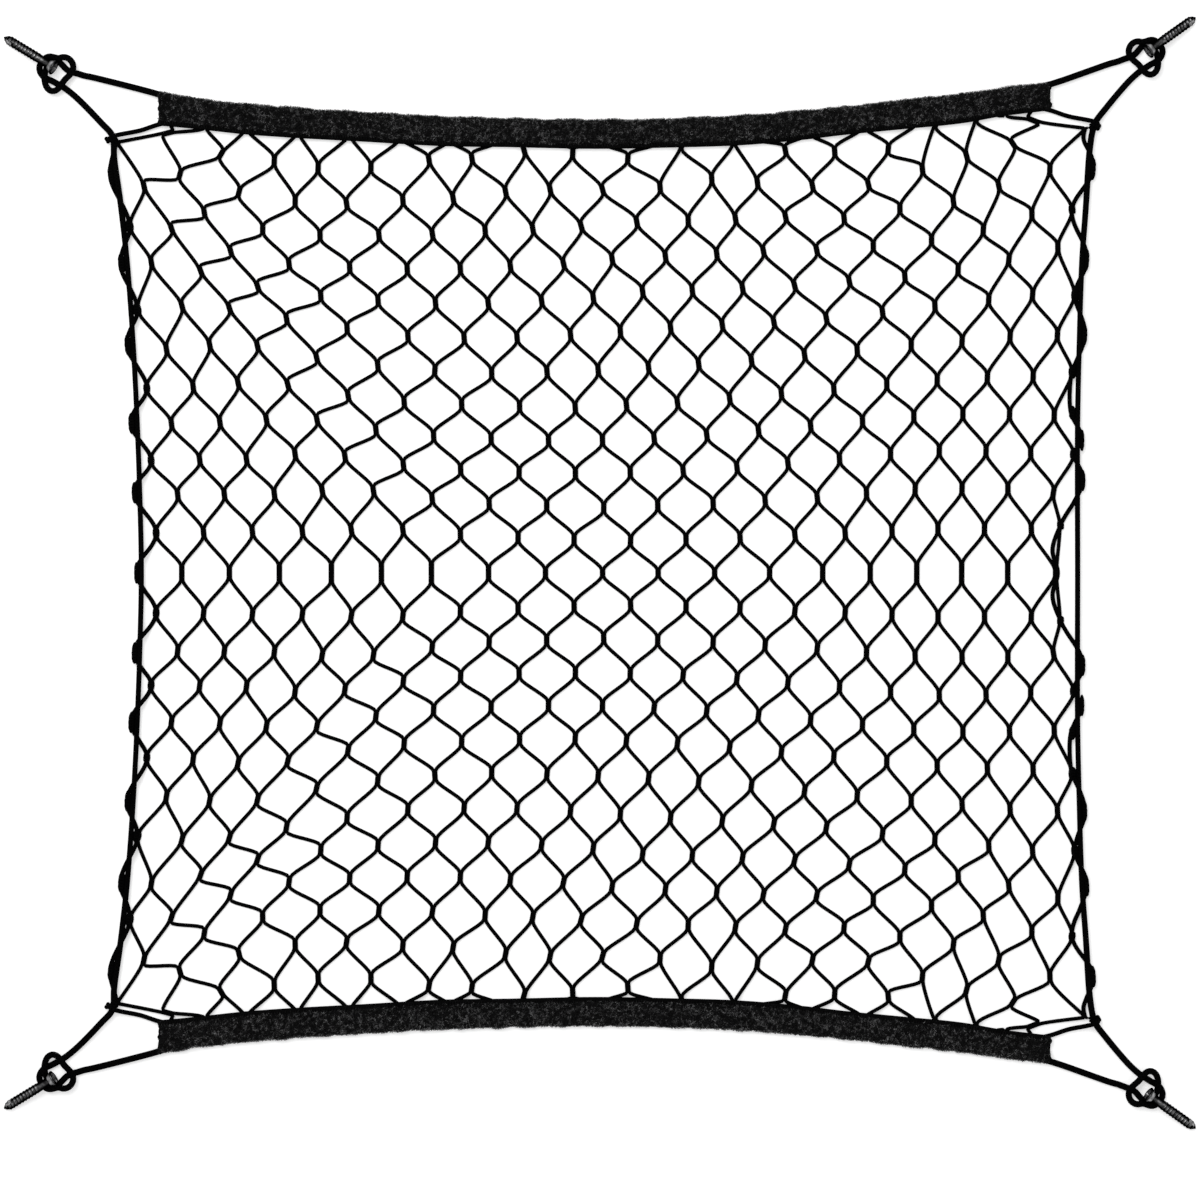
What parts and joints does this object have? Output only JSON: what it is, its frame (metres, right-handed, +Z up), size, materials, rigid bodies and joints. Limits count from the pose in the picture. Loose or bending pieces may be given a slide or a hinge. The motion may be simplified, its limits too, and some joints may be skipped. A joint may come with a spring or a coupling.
{
  "type": "cargo net",
  "caption": "Black elastic diamond-mesh cargo net laid flat, with fleece hems, a perimeter shock cord and a countersunk screw hitched into each corner.",
  "frame": {"origin": "middle of the net's outline, on the ground that it lies on", "axes": "+X runs along the hems to the picture's right, +Y across them to its top, +Z up from the ground"},
  "size_m": [0.7745, 0.7222, 0.0138],
  "materials": {
    "twine": "matt black elastic twine",
    "cord_sleeve": "black braided sleeve",
    "fleece": "black short-pile fleece",
    "black_steel": "satin black phosphated steel"
  },
  "bodies": {
    "root": {"net": "twine", "edge_cord": "cord_sleeve", "hem_top": "fleece", "hem_bottom": "fleece", "screw_top_left": "black_steel", "screw_top_right": "black_steel", "screw_bottom_left": "black_steel", "screw_bottom_right": "black_steel"}
  },
  "joints": []
}
